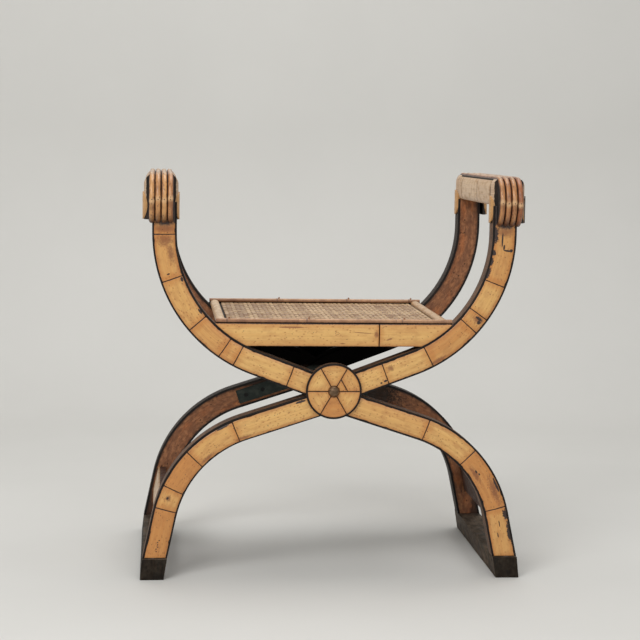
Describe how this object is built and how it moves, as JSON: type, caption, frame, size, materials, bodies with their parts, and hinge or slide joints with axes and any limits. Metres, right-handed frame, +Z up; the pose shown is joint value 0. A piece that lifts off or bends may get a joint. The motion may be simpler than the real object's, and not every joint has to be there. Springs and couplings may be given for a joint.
{
  "type": "bamboo bench",
  "caption": "X-frame bench with scrolled armrests: S-shaped wooden limbs faced with split bamboo, a woven seat, round bosses at the crossings and runner feet.",
  "frame": {"origin": "on the floor under the middle of the bench", "axes": "+X to the right seen from the front, +Y to the back, +Z up"},
  "size_m": [0.6662, 0.4524, 0.7054],
  "materials": {
    "bamboo": "varnished split bamboo",
    "pale_bamboo": "worn split bamboo",
    "reed_bamboo": "varnished half-round reeds",
    "pole_bamboo": "thin bamboo poles with nodes",
    "woven_mat": "woven bamboo strips",
    "dark_wood": "dark stained wood",
    "limb_wood": "bare aged wood",
    "runner_wood": "charcoal painted wood, worn",
    "dowel_wood": "bare hardwood",
    "iron": "dark painted iron",
    "bronze": "aged bronze"
  },
  "bodies": {
    "root": {"apron_dowels": "dowel_wood", "back_apron": "limb_wood", "back_apron_facing": "bamboo", "back_arm_left_facing": "bamboo", "back_arm_right_facing": "bamboo", "back_boss_disc": "dark_wood", "back_boss_facing": "bamboo", "back_boss_stud": "bronze", "back_crossing_plates": "iron", "back_leg_left_facing": "bamboo", "back_leg_right_facing": "bamboo", "back_limb_left": "limb_wood", "back_limb_left_edges": "dark_wood", "back_limb_right": "limb_wood", "back_limb_right_edges": "dark_wood", "back_plate_screws": "iron", "back_seat_pole": "pole_bamboo", "front_apron": "limb_wood", "front_apron_facing": "bamboo", "front_arm_left_facing": "bamboo", "front_arm_right_facing": "bamboo", "front_boss_disc": "dark_wood", "front_boss_facing": "bamboo", "front_boss_stud": "bronze", "front_crossing_plates": "iron", "front_leg_left_facing": "bamboo", "front_leg_right_facing": "bamboo", "front_limb_left": "limb_wood", "front_limb_left_edges": "dark_wood", "front_limb_right": "limb_wood", "front_limb_right_edges": "dark_wood", "front_plate_screws": "iron", "front_seat_pole": "pole_bamboo", "left_armrest_bar": "dark_wood", "left_armrest_reeds": "reed_bamboo", "left_inner_splits": "pale_bamboo", "left_outer_splits": "pale_bamboo", "left_runner": "runner_wood", "left_scroll_blocks": "dark_wood", "left_scroll_cheeks": "dark_wood", "left_scroll_ovals": "bamboo", "left_stretcher": "limb_wood", "left_stretcher_facing": "pale_bamboo", "limb_dowels": "dowel_wood", "reed_pins": "iron", "right_armrest_bar": "dark_wood", "right_armrest_reeds": "reed_bamboo", "right_inner_splits": "pale_bamboo", "right_outer_splits": "pale_bamboo", "right_runner": "runner_wood", "right_scroll_blocks": "dark_wood", "right_scroll_cheeks": "dark_wood", "right_scroll_ovals": "bamboo", "right_stretcher": "limb_wood", "right_stretcher_facing": "pale_bamboo", "seat_board": "limb_wood", "seat_end_boards": "limb_wood", "seat_end_rails": "pale_bamboo", "seat_mat": "woven_mat", "stretcher_dowels": "dowel_wood"}
  },
  "joints": []
}
